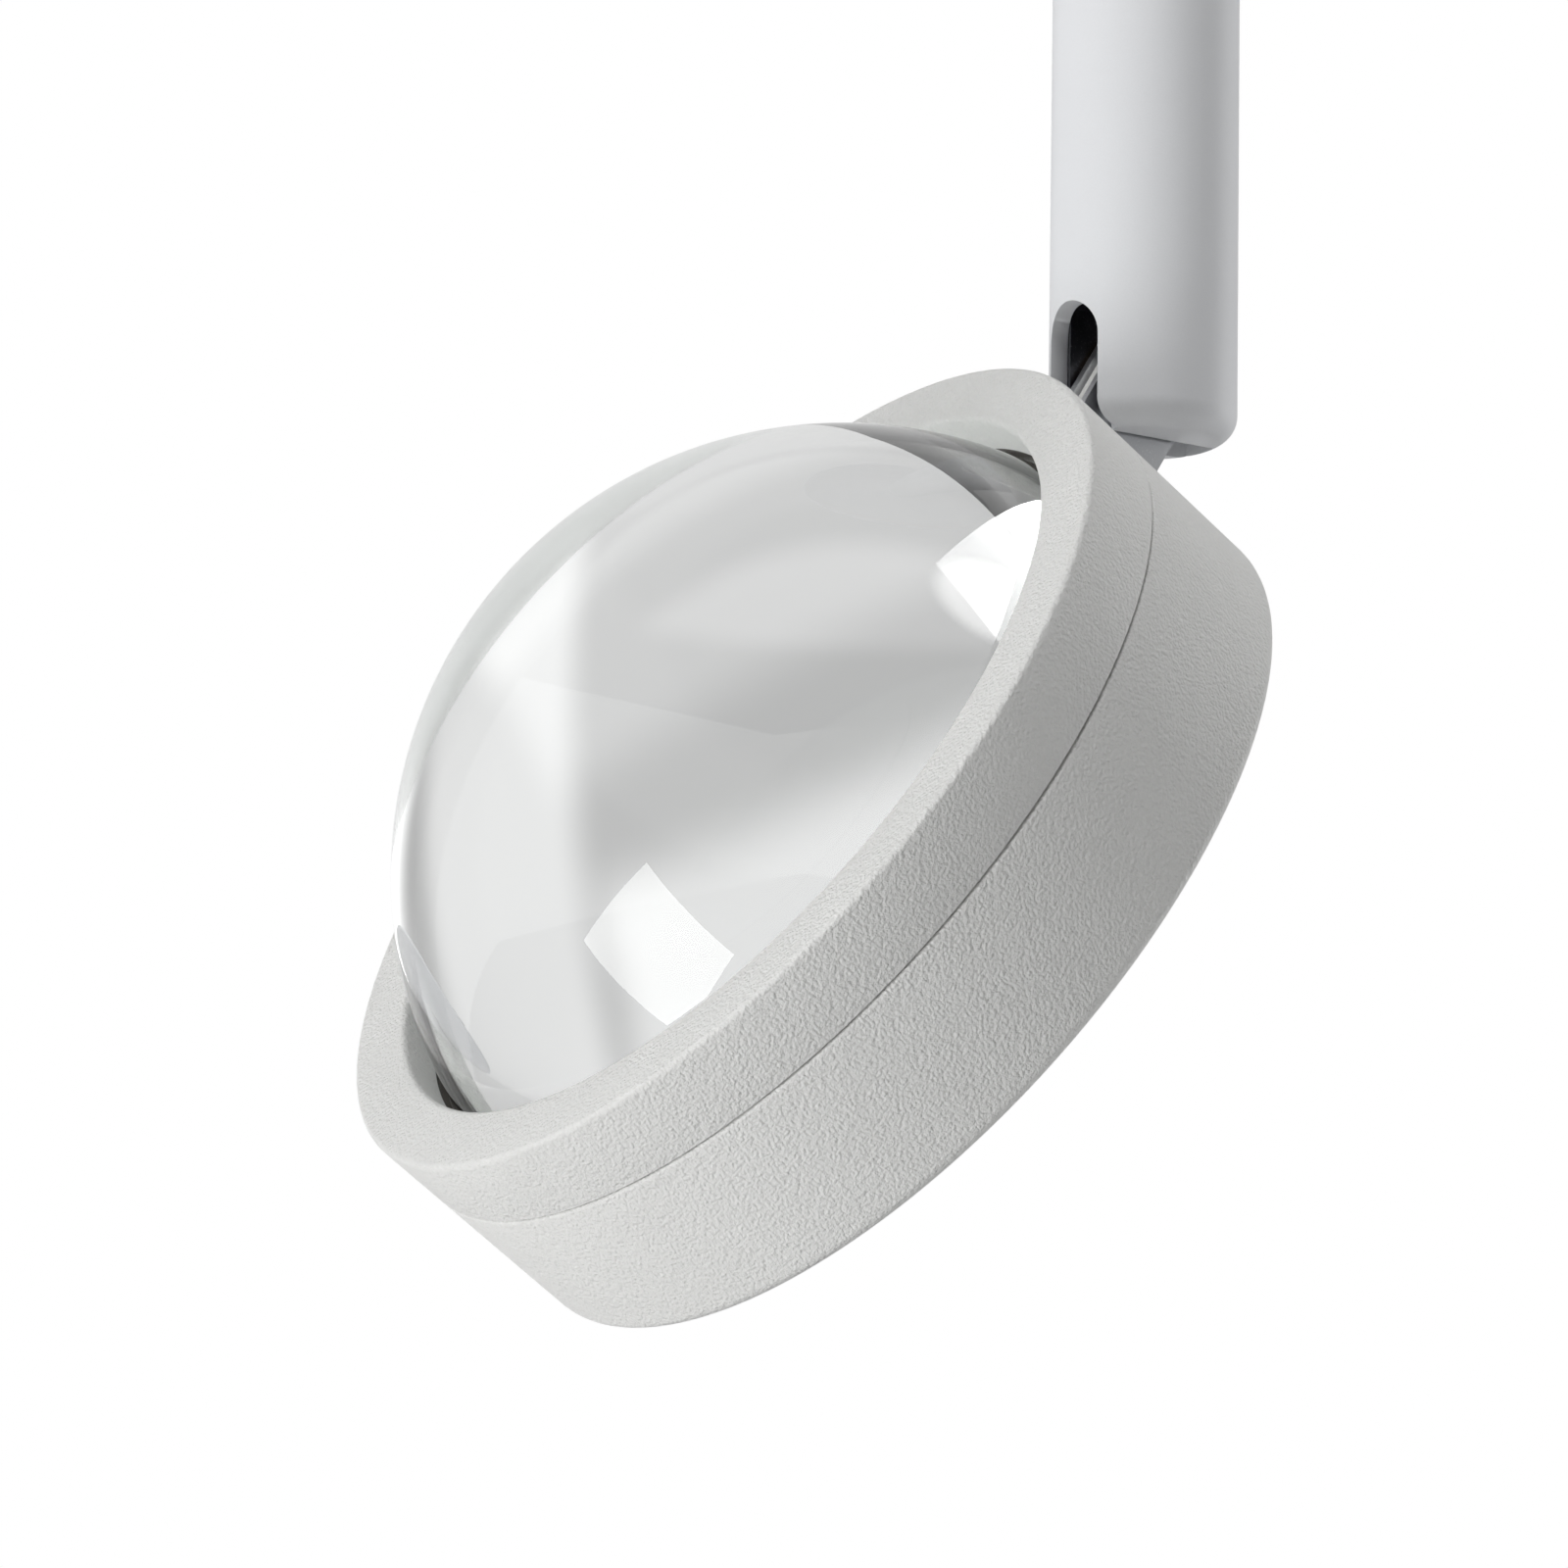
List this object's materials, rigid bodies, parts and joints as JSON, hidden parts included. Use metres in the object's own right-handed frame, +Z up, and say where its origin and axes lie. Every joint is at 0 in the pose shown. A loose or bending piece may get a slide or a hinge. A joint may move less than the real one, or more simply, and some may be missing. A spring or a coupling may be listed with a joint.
{
  "type": "ceiling spotlight",
  "caption": "Ceiling spotlight with a round white head and a thick domed glass lens, tilting in the slotted end of a tube stem that swivels in a round ceiling rose.",
  "frame": {"origin": "middle of the ceiling plate's top face, where it meets the ceiling, midway between the two ceiling screws", "axes": "+Z up into the ceiling along the stem, -Y the way the lens faces at rest, X along the hinge pin and the line of the ceiling screws"},
  "size_m": [0.0932, 0.1097, 0.2414],
  "materials": {
    "coarse_white": "coarse matt powder coat",
    "satin_white": "smooth satin powder coat",
    "clear_glass": "polished",
    "gasket_grey": "matt silicone",
    "white_plastic": "moulded",
    "dish_white": "matt white reflector",
    "opal": "opal diffuser",
    "aluminium": "machined",
    "zinc_steel": "zinc plated",
    "black_steel": "blackened",
    "brass": "turned",
    "lead_white": "lead sheath",
    "wire_grey": "wire insulation",
    "emitter_yellow": "phosphor"
  },
  "bodies": {
    "ceiling_mount": {"ceiling_plate": "zinc_steel", "cover_lugs": "zinc_steel", "rose_cover": "satin_white", "cover_screws": "zinc_steel", "earth_screw": "brass", "led_driver": "white_plastic", "terminal_block": "white_plastic", "terminal_screws": "brass", "supply_link_wires": "wire_grey", "driver_output_lead": "lead_white", "swivel_stop_pin": "zinc_steel"},
    "stem": {"swivel_washer": "white_plastic", "stop_washer": "zinc_steel", "spring_washer": "black_steel", "stem_nut": "zinc_steel", "lock_nut": "zinc_steel", "threaded_nipple": "brass", "stem_tube": "satin_white", "stem_lead": "lead_white", "hinge_fork": "black_steel", "fork_grub_screw": "black_steel", "hinge_pin": "zinc_steel", "friction_washers": "brass"},
    "lamp_head": {"hinge_tab": "aluminium", "tab_screws": "zinc_steel", "rear_housing": "coarse_white", "front_ring": "coarse_white", "lens_gasket": "gasket_grey", "lens": "clear_glass", "rear_gasket": "gasket_grey", "reflector_dish": "dish_white", "lens_seat": "white_plastic", "diffuser_disc": "opal", "heat_sink": "aluminium", "thermal_pad": "gasket_grey", "led_board": "white_plastic", "led_emitter": "emitter_yellow", "board_screws": "zinc_steel", "head_lead": "lead_white"}
  },
  "joints": [
    {"name": "stem_swivel", "type": "hinge", "parent": "ceiling_mount", "child": "stem", "pos_m": [0, 0, -0.024], "axis": [0, 0, 1], "range_deg": [-165, 165]},
    {"name": "head_tilt", "type": "hinge", "parent": "stem", "child": "lamp_head", "pos_m": [0, 0, -0.1597], "axis": [1, 0, 0], "range_deg": [-58, 46]}
  ]
}
